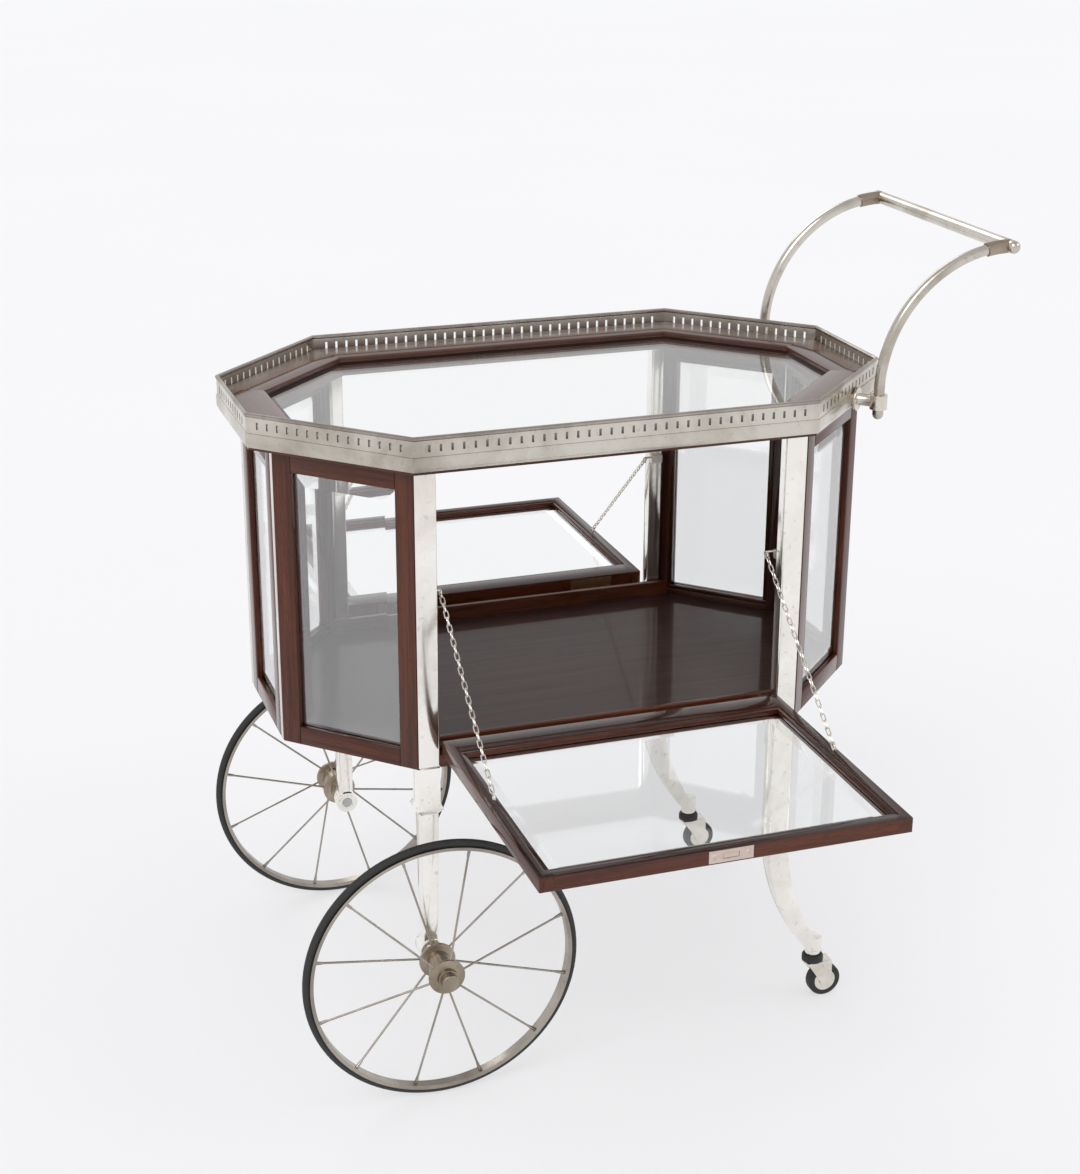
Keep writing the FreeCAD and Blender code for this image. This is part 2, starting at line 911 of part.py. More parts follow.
def leaf_plate(start_share, stop_share, thickness_low):
    """A leaf from the barrel's axis back over the sill, between two shares of the length."""
    middle = hinge_middle()
    start = leaf_length * (start_share - 0.5) + knuckle_gap / 2
    stop = leaf_length * (stop_share - 0.5) - knuckle_gap / 2
    low = middle + Vector(start, 0, thickness_low)
    high = middle + Vector(stop, knuckle_stand + leaf_depth, thickness_low + leaf_thickness)
    return block(low, high)


outer_knuckle_shares = ((0, 1 / 3), (2 / 3, 1))
inner_knuckle_shares = (1 / 3, 2 / 3)


def fixed_leaf():
    """The leaf that lies on the sill, with the two outer knuckles."""
    low = -leaf_gap - leaf_thickness
    middle = hinge_middle()
    half = leaf_length / 2
    flat = block(
        middle + Vector(-half, knuckle_stand, low),
        middle + Vector(half, knuckle_stand + leaf_depth, low + leaf_thickness),
    )
    pieces = []
    for shares in outer_knuckle_shares:
        pieces += [knuckle(*shares), leaf_plate(*shares, low)]
    return flat.multiFuse(pieces).cut(hinge_bore())


def flap_leaf():
    """The leaf under the shut flap, with the middle knuckle."""
    middle = hinge_middle()
    half = leaf_length / 2
    flat = block(
        middle + Vector(-half, knuckle_stand, leaf_gap),
        middle + Vector(half, knuckle_stand + leaf_depth, leaf_gap + leaf_thickness),
    )
    pieces = [knuckle(*inner_knuckle_shares), leaf_plate(*inner_knuckle_shares, leaf_gap)]
    return flat.multiFuse(pieces).cut(hinge_bore())


def hinge_pin():
    middle = hinge_middle()
    reach = X_AXIS * leaf_length / 2
    return rod(middle - reach, middle + reach, pin_radius)


def pair(shape):
    return [shape, to_other_side(shape)]


# Spoked wheels, drawn at the front left


def wheel_place(shape):
    moved = shape.copy()
    moved.translate(Vector(-leg_x, -wheel_mid, wheel_radius))
    return moved


def rim_inner():
    return wheel_radius - tyre_section * 2 - rim_thickness / 2


def wheel_hub():
    bore = axle_radius + axle_clearance
    near = hub_flange_place - hub_flange_thickness / 2
    far = hub_flange_place + hub_flange_thickness / 2
    half_outline = [(hub_barrel, 0), (hub_waist, near), (hub_flange, near), (hub_flange, far)]
    half_outline += [(hub_nose, far), (hub_nose, hub_half), (bore, hub_half)]
    mirrored = [(radius, -place) for radius, place in reversed(half_outline[1:])]
    return turned(half_outline + mirrored)


def wheel_rim():
    inner = rim_inner()
    outer = inner + rim_thickness
    throat = rim_half_width * rim_throat_share
    return turned([(inner, -throat), (outer, -rim_half_width), (outer, rim_half_width), (inner, throat)])


def wheel_tyre():
    ring = Part.makeTorus(wheel_radius - tyre_section, tyre_section, ORIGIN, Y_AXIS)
    return ring.cut(wheel_rim())


def wheel_spokes():
    """Wires from each flange in turn to the middle of the rim."""
    hub, rim = wheel_hub(), wheel_rim()
    spokes = []
    for index in range(spoke_count):
        turn = math.radians(spoke_start + 360 / spoke_count * index)
        out = Vector(math.sin(turn), 0, math.cos(turn))
        side = 1 if index % 2 else -1
        start = out * (hub_flange - spoke_bite) + Y_AXIS * hub_flange_place * side
        end = out * (rim_inner() + spoke_bite)
        spokes.append(rod(start, end, spoke_radius).cut([hub, rim]))
    return spokes


def stub_axle():
    """From the leg's boss through the hub, with a shoulder behind the hub."""
    start = Vector(-leg_x, -leg_y + axle_boss_half, wheel_radius)
    hub_inner = wheel_mid - hub_half - hub_end_play
    hub_outer = wheel_mid + hub_half + hub_end_play
    shoulder_start = Vector(-leg_x, -leg_y - axle_boss_half, wheel_radius)
    shoulder_end = Vector(-leg_x, -hub_inner, wheel_radius)
    end = Vector(-leg_x, -hub_outer - nut_length + nut_wall, wheel_radius)
    return rod(start, end, axle_radius).fuse(rod(shoulder_start, shoulder_end, axle_collar))


def axle_nut():
    """A domed cap on the end of the axle."""
    hub_outer = wheel_mid + hub_half + hub_end_play
    start = Vector(-leg_x, -hub_outer, wheel_radius)
    crown = nut_radius - axle_radius
    body = rod(start, start - Y_AXIS * nut_length, nut_radius)
    edges = [edge for edge in body.Edges if edge.BoundBox.YMax < start.y - nut_length / 2]
    rounded = body.makeFillet(crown / 2, [edge for edge in edges if edge.BoundBox.YLength < overrun])
    return rounded.cut(rod(start, start - Y_AXIS * (nut_length - nut_wall), axle_radius))


# Swivel casters, drawn at the front right


def caster_axle_point():
    return Vector(caster_x + caster_trail, -leg_y, caster_wheel_radius)


def caster_fork():
    """Stem, bridge, two cheeks and the axle, riveted into one piece."""
    stem_foot = Vector(caster_x, -leg_y, caster_fork_top)
    stem = Part.makeCylinder(caster_stem_radius, caster_stem_length - swivel_gap * 2, stem_foot)
    axle = caster_axle_point()
    half = caster_wheel_width / 2 + caster_cheek_gap + caster_cheek_thickness
    bridge = block(
        Vector(caster_x - caster_socket_radius, -leg_y - half, caster_fork_top - caster_bridge),
        Vector(axle.x + caster_cheek_radius, -leg_y + half, caster_fork_top),
    )
    inner = half - caster_cheek_thickness
    cheeks = []
    for low in (-half, inner):
        outline = [
            Vector(caster_x - caster_socket_radius, -leg_y + low, caster_fork_top),
            Vector(axle.x + caster_cheek_radius, -leg_y + low, caster_fork_top),
            Vector(axle.x + caster_cheek_radius, -leg_y + low, axle.z),
            Vector(axle.x - caster_cheek_radius, -leg_y + low, axle.z),
        ]
        face = face_of(outline)
        cheeks.append(face.extrude(Y_AXIS * caster_cheek_thickness))
        end = Vector(axle.x, -leg_y + low, axle.z)
        cheeks.append(rod(end, end + Y_AXIS * caster_cheek_thickness, caster_cheek_radius))
    pin = rod(axle - Y_AXIS * half, axle + Y_AXIS * half, caster_axle_radius)
    return stem.multiFuse([bridge] + cheeks + [pin])


def caster_disc(outer, inner, width):
    axle = caster_axle_point()
    half = Y_AXIS * width / 2
    past = Y_AXIS * overrun
    disc = rod(axle - half, axle + half, outer)
    return disc.cut(rod(axle - half - past, axle + half + past, inner))


def caster_core():
    return caster_disc(caster_core_radius, caster_axle_radius + fit_clearance, caster_wheel_width)


def caster_tread():
    """The dark ring round the core, with its shoulders rounded off."""
    ring = caster_disc(caster_wheel_radius, caster_core_radius, caster_wheel_width)
    rims = [edge for edge in ring.Edges if edge.BoundBox.ZMin < overrun and edge.BoundBox.YLength < overrun]
    return ring.makeFillet((caster_wheel_radius - caster_core_radius) / 3, rims)


# Nodes


def cabinet_nodes():
    canted_frames, canted_panes, canted_beads = fixed_panels(CANTED)
    end_frames, end_panes, end_beads = fixed_panels(ENDS)
    return {
        "floor_board": [floor_board()],
        "base_rails": base_rails(),
        "corner_posts": corner_posts(),
        "end_posts": end_posts(),
        "canted_frames": canted_frames,
        "canted_panes": canted_panes,
        "end_frames": end_frames,
        "end_panes": end_panes,
        "panel_beads": canted_beads + end_beads,
        "wheel_legs": front_and_back([wheel_leg()]),
        "caster_legs": front_and_back([caster_leg()]),
        "stub_axles": front_and_back([stub_axle()]),
        "axle_nuts": front_and_back([axle_nut()]),
    }


def top_nodes():
    return {
        "top_bearers": top_bearers(),
        "top_border": top_border(),
        "top_glass": [top_glass()],
        "edge_band": edge_band(),
        "gallery_walls": gallery_walls(),
        "gallery_rails": gallery_rails(),
        "strike_plates": front_and_back([strike_plate()]),
        "handle_arms": front_and_back([handle_arm()]),
        "handle_grip": [grip()],
        "handle_ferrules": front_and_back([ferrule()]),
        "handle_brackets": front_and_back([bracket()]),
        "bracket_screws": front_and_back(bracket_screws()),
    }


def flap_nodes():
    """Both flaps laid open, with what holds them on the cabinet."""
    drawn_shut = {
        "frame": flap_frame(),
        "pane": [flap_pane()],
        "beads": flap_beads(),
        "lock": [lock_case()],
        "bolt": [lock_bolt()],
        "hinge_leaves": pair(flap_leaf()),
        "chain_eyes": pair(chain_eye()[0]),
    }
    nodes = {
        "sill_hinge_leaves": front_and_back(pair(fixed_leaf())),
        "hinge_pins": front_and_back(pair(hinge_pin())),
        "chain_hooks": all_four(chain_hook()[0]),
        "front_chains": front_chains(),
        "back_chains": [to_back(shape) for shape in front_chains()],
    }
    for name, shapes in drawn_shut.items():
        laid = [opened(shape) for shape in shapes]
        nodes["front_flap_" + name] = laid
        nodes["back_flap_" + name] = [to_back(shape) for shape in laid]
    return nodes


def running_nodes():
    pieces = {
        "wheel_hub": [wheel_place(wheel_hub())],
        "wheel_spokes": [wheel_place(spoke) for spoke in wheel_spokes()],
        "wheel_rim": [wheel_place(wheel_rim())],
        "wheel_tyre": [wheel_place(wheel_tyre())],
        "caster_fork": [caster_fork()],
        "caster_core": [caster_core()],
        "caster_tread": [caster_tread()],
    }
    nodes = {}
    for name, shapes in pieces.items():
        nodes["front_" + name] = shapes
        nodes["back_" + name] = [to_back(shape) for shape in shapes]
    return nodes


def save(name, shapes):
    shape = shapes[0] if len(shapes) == 1 else Part.makeCompound(shapes)
    shape.translate(Vector(-origin_x, 0, 0))
    shape.exportStep("parts/" + name + ".step")


def main():
    os.makedirs("parts", exist_ok=True)
    nodes = cabinet_nodes() | top_nodes() | flap_nodes() | running_nodes()
    for name, shapes in nodes.items():
        save(name, shapes)
    print(len(nodes), "nodes,", sum(len(shapes) for shapes in nodes.values()), "solids")


main()
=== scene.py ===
import json
import math

import bmesh
import bpy
from mathutils import Matrix, Vector


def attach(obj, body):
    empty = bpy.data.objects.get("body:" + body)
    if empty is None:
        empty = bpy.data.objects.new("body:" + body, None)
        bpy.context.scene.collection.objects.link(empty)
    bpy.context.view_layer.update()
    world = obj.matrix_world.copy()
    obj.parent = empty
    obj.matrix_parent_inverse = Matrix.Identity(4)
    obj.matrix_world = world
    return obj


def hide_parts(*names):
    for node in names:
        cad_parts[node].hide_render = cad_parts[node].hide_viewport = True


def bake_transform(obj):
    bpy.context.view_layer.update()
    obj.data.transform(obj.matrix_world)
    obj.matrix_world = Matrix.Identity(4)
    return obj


# The looks of an octagonal bar cart, in metres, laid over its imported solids

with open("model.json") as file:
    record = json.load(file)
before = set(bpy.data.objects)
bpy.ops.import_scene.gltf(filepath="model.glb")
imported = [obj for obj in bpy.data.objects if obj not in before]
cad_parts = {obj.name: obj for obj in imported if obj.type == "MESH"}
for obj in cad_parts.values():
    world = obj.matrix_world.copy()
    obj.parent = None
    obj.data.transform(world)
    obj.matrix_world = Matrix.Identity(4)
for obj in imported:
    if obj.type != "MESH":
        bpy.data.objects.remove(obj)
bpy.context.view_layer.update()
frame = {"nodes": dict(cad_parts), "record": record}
scene = bpy.context.scene
record = frame["record"]
slot_of_node = {part["node"]: part["material_slot"] for part in record["subparts"]}
body_of_node = {node: body for body, nodes in record["behaviour"]["bodies"].items() for node in nodes}

# Sizes that repeat those of the solids
CABINET_X = -0.059784
HOOK = Vector((0.184, -0.1795, 0.5601))
EYE = Vector((0.1845, -0.3592, 0.4103))
LINK_COUNT = 29
LINK_WIDTH = 0.0056
LINK_WIRE = 0.0007
RING_ROOM = 0.0012
WHEEL = Vector((-0.205, -0.238, 0.153))
SPOKE_COUNT = 12
SPOKE_START = math.radians(13)
SPOKE_FOOT = Vector((0.0185, 0.018))
RIM_INNER = 0.142
FLAP_EDGE_Y = -0.5181
FLAP_UNDERSIDE = 0.3883
FLAP_THICKNESS = 0.016
BRACKET = Vector((0.32457, -0.15, 0.71130))
BRACKET_SEAT = 0.023
BRACKET_SCREW_SPREAD = 0.00975
CASTER = Vector((0.262, -0.189, 0.0473))

# Sizes of the dressing
WELD = 0.00002
FLAT_ANGLE = math.radians(1.5)
SHARP_ANGLE = math.radians(32)
EASE_SEGMENTS = 2
ROUND_PROFILE = 0.5
INWARD_SHARE = 0.6
# Share of the wood's colour kept on faces inside the cabinet and on the open flaps' upper faces: painted
# shade
PAINTED_INSIDE_SHADE = 0.42
BOARD_SHIFT = Vector((0.37, 0.113, 0.071))
LINK_BEND_SHARE = 0.499
LINK_BEND_STEPS = 3
WIRE_SIDES = 6
SCREW_SIDES = 20
SCREW_RADIUS = 0.0026
SCREW_SHOULDER_SHARE = 0.78
SCREW_SLOT_SHARE = 0.36
SCREW_CUTTER_SHARE = 2.5
SCREW_SEED = 7
LOCK_SCREW_HEIGHT = 0.0005
LOCK_SCREW_SPREAD = 0.018
BRACKET_SCREW_HEIGHT = 0.0016
NIPPLE_SIDES = 12
NIPPLE_LENGTH = 0.009
NIPPLE_RADIUS = 0.0021
NIPPLE_THROAT_SHARE = 0.7
RING_SIDES = 40
CUP_BORE = 0.0098
CUP_RADIUS = 0.0125
CUP_HEIGHT = 0.0095
CUP_ROUNDING = 0.0012
KEYHOLE_SETBACK = 0.008
KEYHOLE_RADIUS = 0.0013
KEYHOLE_SLOT_HALF = 0.0006
KEYHOLE_SLOT_LENGTH = 0.004
KEYHOLE_PLATE = Vector((0.0042, 0.0062, 0.0008))
KEYHOLE_SIDES = 64

# Camera of the photograph: where it stands, how it is turned, and its lens
CAMERA_PLACE = Vector((-0.81218, -2.1421, 1.3436))
CAMERA_YAW = math.radians(19.029)
CAMERA_PITCH = math.radians(20.837)
CAMERA_ROLL = math.radians(0.233)
CAMERA_LENS = 65.0
SENSOR = 36.0

# Studio: the floor, the sky, and each lamp's direction, breadth and strength
FLOOR_REACH = 40.0
FLOOR_GLOW = 0.56
SKY_STRENGTH = 0.9
LAMPS = {
    "key_light": (Vector((0.55, 0.5, -0.75)), math.radians(35), 0.8),
    "side_light": (Vector((-0.75, 0.3, -0.55)), math.radians(25), 0.32),
    "back_light": (Vector((0.1, -0.8, -0.6)), math.radians(30), 0.36),
}

# Patterns in the finishes: how many cells of noise there are in a metre, and how deep the bumps go
FIGURE_CELLS = (5.0, 95.0, 95.0)
STRIPE_CELLS = (14.0, 420.0, 420.0)
PORE_CELLS = (90.0, 1800.0, 1800.0)
PORE_DEPTH = 0.0004
TARNISH_CELLS = 11.0
SPECK_CELLS = 130.0
WIPE_CELLS = (400.0, 400.0, 60.0)
WIPE_DEPTH = 0.0003
SMEAR_CELLS = 26.0
DUST_CELLS = 38.0
GRIT_CELLS = 900.0
GRIT_DEPTH = 0.0003
FLOOR_CELLS = 0.7

# Colours of the red mahogany
RED_DARK = (0.044, 0.0105, 0.0045)
RED_LIGHT = (0.12, 0.0305, 0.0115)


# Short ways to build node trees


def put(tree, socket, value):
    """Gives a socket a value, or joins it to another node's output."""
    if isinstance(value, bpy.types.NodeSocket):
        tree.links.new(value, socket)
    else:
        socket.default_value = value


def add(tree, kind, sockets, **settings):
    """A new node, with its settings and its sockets filled in by name or number."""
    node = tree.nodes.new(kind)
    for name, value in settings.items():
        setattr(node, name, value)
    for name, value in sockets.items():
        put(tree, node.inputs[name], value)
    return node


def new_finish(name):
    material = bpy.data.materials.new(name)
    material.use_nodes = True
    tree = material.node_tree
    return material, tree, tree.nodes["Principled BSDF"]


def set_shader(tree, shader, **values):
    """Fills in the shader's sockets, whose names are written with underscores."""
    for name, value in values.items():
        put(tree, shader.inputs[name.replace("_", " ")], value)


def object_place(tree):
    return add(tree, "ShaderNodeTexCoord", {}).outputs["Object"]


def grain_place(tree):
    return add(tree, "ShaderNodeAttribute", {}, attribute_name="grain").outputs["Vector"]


def stretched(tree, place, scale):
    return add(tree, "ShaderNodeMapping", {"Vector": place, "Scale": scale}).outputs["Vector"]


def noise(tree, place, scale, detail=4.0, roughness=0.55, distortion=0.0):
    sockets = {"Vector": place, "Scale": scale, "Detail": detail}
    sockets.update({"Roughness": roughness, "Distortion": distortion})
    return add(tree, "ShaderNodeTexNoise", sockets).outputs["Fac"]


def between(tree, value, low, high, to_low, to_high):
    """A value from one range, carried over to another range and kept in it."""
    sockets = {"Value": value, "From Min": low, "From Max": high, "To Min": to_low, "To Max": to_high}
    return add(tree, "ShaderNodeMapRange", sockets).outputs["Result"]


def mixed(tree, share, first, second, blend="MIX"):
    """Two colours mixed by a share."""
    node = tree.nodes.new("ShaderNodeMix")
    node.data_type = "RGBA"
    node.blend_type = blend
    put(tree, node.inputs[0], share)
    put(tree, node.inputs[6], first)
    put(tree, node.inputs[7], second)
    return node.outputs[2]


def bumped(tree, height, strength, distance):
    sockets = {"Height": height, "Strength": strength, "Distance": distance}
    return add(tree, "ShaderNodeBump", sockets).outputs["Normal"]


def times(tree, value, factor):
    return add(tree, "ShaderNodeMath", {0: value, 1: factor}, operation="MULTIPLY").outputs["Value"]


# Finishes


def mahogany_finish(name, place_of, dark, light, polish):
    """Polished mahogany: a slow figure along the board, fine pores, a film of polish, and painted shade on
    the faces marked inside.
    """
    material, tree, shader = new_finish(name)
    place = place_of(tree)
    figure = noise(tree, stretched(tree, place, FIGURE_CELLS), 1.0, 5.0, 0.6, 0.6)
    stripe = noise(tree, stretched(tree, place, STRIPE_CELLS), 1.0, 3.0)
    pores = noise(tree, stretched(tree, place, PORE_CELLS), 1.0, 2.0)
    colour = mixed(tree, between(tree, figure, 0.3, 0.7, 0.0, 1.0), (*dark, 1), (*light, 1))
    shade = between(tree, stripe, 0.3, 0.7, 0.72, 1.08)
    colour = mixed(tree, 1.0, colour, shade, "MULTIPLY")
    dots = between(tree, pores, 0.56, 0.68, 1.0, 0.45)
    colour = mixed(tree, 1.0, colour, dots, "MULTIPLY")
    # Painted shade: the faces marked inside are darkened
    inside = add(tree, "ShaderNodeAttribute", {}, attribute_name="inside").outputs["Fac"]
    painted_inside_shade = between(tree, inside, 0.0, 1.0, 1.0, PAINTED_INSIDE_SHADE)
    colour = mixed(tree, 1.0, colour, painted_inside_shade, "MULTIPLY")
    rough = between(tree, stripe, 0.3, 0.7, 0.3, 0.44)
    set_shader(tree, shader, Base_Color=colour, Roughness=rough, Specular_IOR_Level=0.05)
    set_shader(tree, shader, Coat_Weight=polish, Coat_Roughness=0.07)
    set_shader(tree, shader, Normal=bumped(tree, dots, 0.12, PORE_DEPTH))
    return material


def plate_finish(name, bright, tarnished, smooth, dull, tarnish_share):
    """Plated metal: polished, with cloudy tarnish, wiping marks and a faint unevenness."""
    material, tree, shader = new_finish(name)
    place = object_place(tree)
    cloud = noise(tree, place, TARNISH_CELLS, 6.0, 0.62, 0.4)
    speck = noise(tree, place, SPECK_CELLS, 4.0, 0.6)
    wipe = noise(tree, stretched(tree, place, WIPE_CELLS), 1.0, 2.0)
    stain = between(tree, cloud, 0.42, 0.72, 0.0, tarnish_share)
    colour = mixed(tree, stain, (*bright, 1), (*tarnished, 1))
    freckle = between(tree, speck, 0.6, 0.72, 1.0, 0.78)
    colour = mixed(tree, 1.0, colour, freckle, "MULTIPLY")
    rough = between(tree, cloud, 0.35, 0.7, smooth, dull)
    set_shader(tree, shader, Base_Color=colour, Roughness=rough, Metallic=1.0)
    set_shader(tree, shader, Normal=bumped(tree, wipe, 0.05, WIPE_DEPTH))
    return material


def glass_finish(name, mirroring):
    """Clear plate glass with a trace of green, a few smears and a share of added mirroring."""
    material, tree, shader = new_finish(name)
    smear = noise(tree, object_place(tree), SMEAR_CELLS, 5.0, 0.6, 1.2)
    set_shader(tree, shader, Base_Color=(0.985, 0.995, 0.99, 1), IOR=1.48, Transmission_Weight=1.0)
    set_shader(tree, shader, Coat_Weight=mirroring, Coat_IOR=1.9, Coat_Roughness=0.02)
    set_shader(tree, shader, Roughness=between(tree, smear, 0.58, 0.8, 0.0, 0.05))
    return material


def rubber_finish(name, colour, dust):
    """Black rubber, dusty where it has rolled."""
    material, tree, shader = new_finish(name)
    place = object_place(tree)
    cloud = noise(tree, place, DUST_CELLS, 5.0, 0.65)
    grit = noise(tree, place, GRIT_CELLS, 3.0)
    tone = mixed(tree, between(tree, cloud, 0.45, 0.75, 0.0, 0.55), (*colour, 1), (*dust, 1))
    rough = between(tree, cloud, 0.3, 0.7, 0.55, 0.8)
    set_shader(tree, shader, Base_Color=tone, Roughness=rough)
    set_shader(tree, shader, Normal=bumped(tree, grit, 0.2, GRIT_DEPTH))
    return material


def floor_finish():
    """Pale translucent studio floor, lit from below, with a barely uneven tone."""
    material, tree, shader = new_finish("studio_floor")
    tone = noise(tree, object_place(tree), FLOOR_CELLS, 3.0)
    colour = mixed(tree, tone, (0.36, 0.36, 0.37, 1), (0.385, 0.385, 0.39, 1))
    set_shader(tree, shader, Base_Color=colour, Roughness=0.9, Specular_IOR_Level=0.0)
    set_shader(tree, shader, Emission_Color=(0.99, 0.99, 1.0, 1), Emission_Strength=FLOOR_GLOW)
    return material


finishes = {
    "mahogany": mahogany_finish("red_mahogany", grain_place, RED_DARK, RED_LIGHT, 0.65),
    "table_mahogany": mahogany_finish("table_mahogany", grain_place, RED_DARK, RED_LIGHT, 1.0),
    "floor_mahogany": mahogany_finish(
        "dark_mahogany", object_place, (0.03, 0.0125, 0.0095), (0.056, 0.0245, 0.019), 0.36
    ),
    "silver_plate": plate_finish("silver_plate", (0.82, 0.785, 0.725), (0.46, 0.39, 0.315), 0.12, 0.3, 0.6),
    # A brighter copy of the silver plate: painted reflection of the pale floor, for the posts and legs
    "bright_plate": plate_finish("bright_plate", (0.93, 0.905, 0.86), (0.6, 0.53, 0.445), 0.1, 0.24, 0.5),
    "aged_plate": plate_finish("aged_plate", (0.63, 0.595, 0.535), (0.32, 0.27, 0.215), 0.14, 0.32, 0.8),
    # A darker copy of the silver plate: painted shade on the gallery rails and the wheels' rims; the spokes
    # and nipples share it
    "dark_plate": plate_finish("dark_plate", (0.42, 0.38, 0.335), (0.17, 0.145, 0.12), 0.2, 0.36, 0.8),
    "lock_nickel": plate_finish("worn_nickel", (0.68, 0.57, 0.51), (0.42, 0.32, 0.26), 0.22, 0.38, 0.6),
    "hinge_brass": plate_finish("aged_brass", (0.58, 0.45, 0.26), (0.25, 0.18, 0.1), 0.25, 0.42, 0.7),
    "hub_bronze": plate_finish("dull_bronze", (0.4, 0.34, 0.265), (0.165, 0.13, 0.095), 0.28, 0.45, 0.8),
    "steel": plate_finish("dull_steel", (0.52, 0.51, 0.49), (0.26, 0.235, 0.21), 0.25, 0.42, 0.7),
    "glass": glass_finish("clear_glass", 0.0),
    "wall_glass": glass_finish("wall_glass", 1.0),
    "tyre_rubber": rubber_finish("tyre_rubber", (0.02, 0.02, 0.0195), (0.05, 0.048, 0.044)),
    "caster_rubber": rubber_finish("caster_rubber", (0.016, 0.016, 0.016), (0.045, 0.043, 0.04)),
}


# Pieces and where they belong


def add_piece(name, mesh):
    piece = bpy.data.objects.new(name, mesh)
    scene.collection.objects.link(piece)
    return piece


def dress(thing, finish):
    thing.data.materials.clear()
    thing.data.materials.append(finishes[finish])


def settle(piece, body):
    """Gives a piece the body that it moves with."""
    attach(piece, body)


def smooth_with_creases(mesh):
    mesh.shade_smooth()
    mesh.set_sharp_from_angle(angle=SHARP_ANGLE)


def finish_for(node):
    return finish_of_node.get(node, slot_of_node[node])


def loose_boards(form):
    """The vertices of each separate solid in a mesh."""
    boards = []
    seen = set()
    for start in form.verts:
        if start in seen:
            continue
        board, edge_of_board = [], [start]
        seen.add(start)
        while edge_of_board:
            vertex = edge_of_board.pop()
            board.append(vertex)
            for edge in vertex.link_edges:
                other = edge.other_vert(vertex)
                if other not in seen:
                    seen.add(other)
                    edge_of_board.append(other)
        boards.append(board)
    return boards


def board_axes(board):
    """Directions along, across and through a board, from its longest edge and the way it faces."""
    edges = {edge for vertex in board for edge in vertex.link_edges}
    longest = max(edges, key=lambda edge: edge.calc_length())
    along = (longest.verts[1].co - longest.verts[0].co).normalized()
    flat = min(((0, 0, 1), (0, 1, 0), (1, 0, 0)), key=lambda axis: abs(along.dot(Vector(axis))))
    across = along.cross(Vector(flat)).normalized()
    return along, across, along.cross(across)


def eased_form(node, ease):
    """A solid's mesh, welded, with its sharp edges rounded over."""
    form = bmesh.new()
    form.from_mesh(frame["nodes"][node].data)
    bmesh.ops.remove_doubles(form, verts=form.verts, dist=WELD)
    shared = [edge for edge in form.edges if len(edge.link_faces) > 2]
    bmesh.ops.split_edges(form, edges=shared)
    bmesh.ops.dissolve_limit(form, angle_limit=FLAT_ANGLE, verts=form.verts, edges=form.edges)
    paired = [edge for edge in form.edges if len(edge.link_faces) == 2]
    sharp = [edge for edge in paired if edge.calc_face_angle() > SHARP_ANGLE]
    bmesh.ops.bevel(
        form,
        geom=sharp,
        offset=ease,
        segments=EASE_SEGMENTS,
        profile=ROUND_PROFILE,
        affect="EDGES",
        clamp_overlap=True,
    )
    return form


def looks_inside(face):
    """Whether a face of the cabinet's wall looks into the cabinet."""
    middle = face.calc_center_median()
    inward = Vector((CABINET_X - middle.x, -middle.y, 0)).normalized()
    return face.normal.dot(inward) > INWARD_SHARE


def looks_up(face):
    """Whether a face of an open flap looks up, and so into the cabinet when the flap is shut; such faces get
    painted shade.
    """
    return face.normal.z > INWARD_SHARE


def lay_grain(form):
    """Lays the grain along each of a mesh's boards."""
    layer = form.verts.layers.float_vector.new("grain")
    for number, board in enumerate(loose_boards(form)):
        axes = board_axes(board)
        for vertex in board:
            local = Vector([vertex.co.dot(axis) for axis in axes])
            vertex[layer] = local + BOARD_SHIFT * number


def mark_painted_shade(form, is_inside):
    """Marks the faces that belong to the cabinet's inside, which get painted shade."""
    layer = form.faces.layers.float.new("inside")
    form.normal_update()
    for face in form.faces:
        face[layer] = 1.0 if is_inside(face) else 0.0


def eased_piece(node, ease):
    """A piece in place of a solid, with eased edges, its grain and its inside faces marked for painted shade.
    """
    form = eased_form(node, ease)
    lay_grain(form)
    if node in painted_shade_rules:
        mark_painted_shade(form, painted_shade_rules[node])
    mesh = bpy.data.meshes.new(node + "_eased")
    form.to_mesh(mesh)
    form.free()
    smooth_with_creases(mesh)
    piece = add_piece(node + "_eased", mesh)
    dress(piece, finish_for(node))
    settle(piece, body_of_node[node])
    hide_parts(node)


eases = {
    "base_rails": 0.001,
    "canted_frames": 0.0012,
    "end_frames": 0.0012,
    "panel_beads": 0.0008,
    "top_bearers": 0.001,
    "top_border": 0.0015,
    "front_flap_frame": 0.0014,
    "back_flap_frame": 0.0014,
    "front_flap_beads": 0.0008,
    "back_flap_beads": 0.0008,
    "corner_posts": 0.0022,
    "end_posts": 0.0018,
    "wheel_legs": 0.002,
    "caster_legs": 0.0022,
    "edge_band": 0.0006,
    "handle_brackets": 0.0006,
    "front_wheel_hub": 0.0007,
    "back_wheel_hub": 0.0007,
    "front_caster_fork": 0.0006,
    "back_caster_fork": 0.0006,
}


# Which faces of a wooden node belong to the cabinet's inside, and so get painted shade
painted_shade_rules = {
    "canted_frames": looks_inside,
    "end_frames": looks_inside,
    "panel_beads": looks_inside,
    "front_flap_frame": looks_up,
    "back_flap_frame": looks_up,
    "front_flap_beads": looks_up,
    "back_flap_beads": looks_up,
}


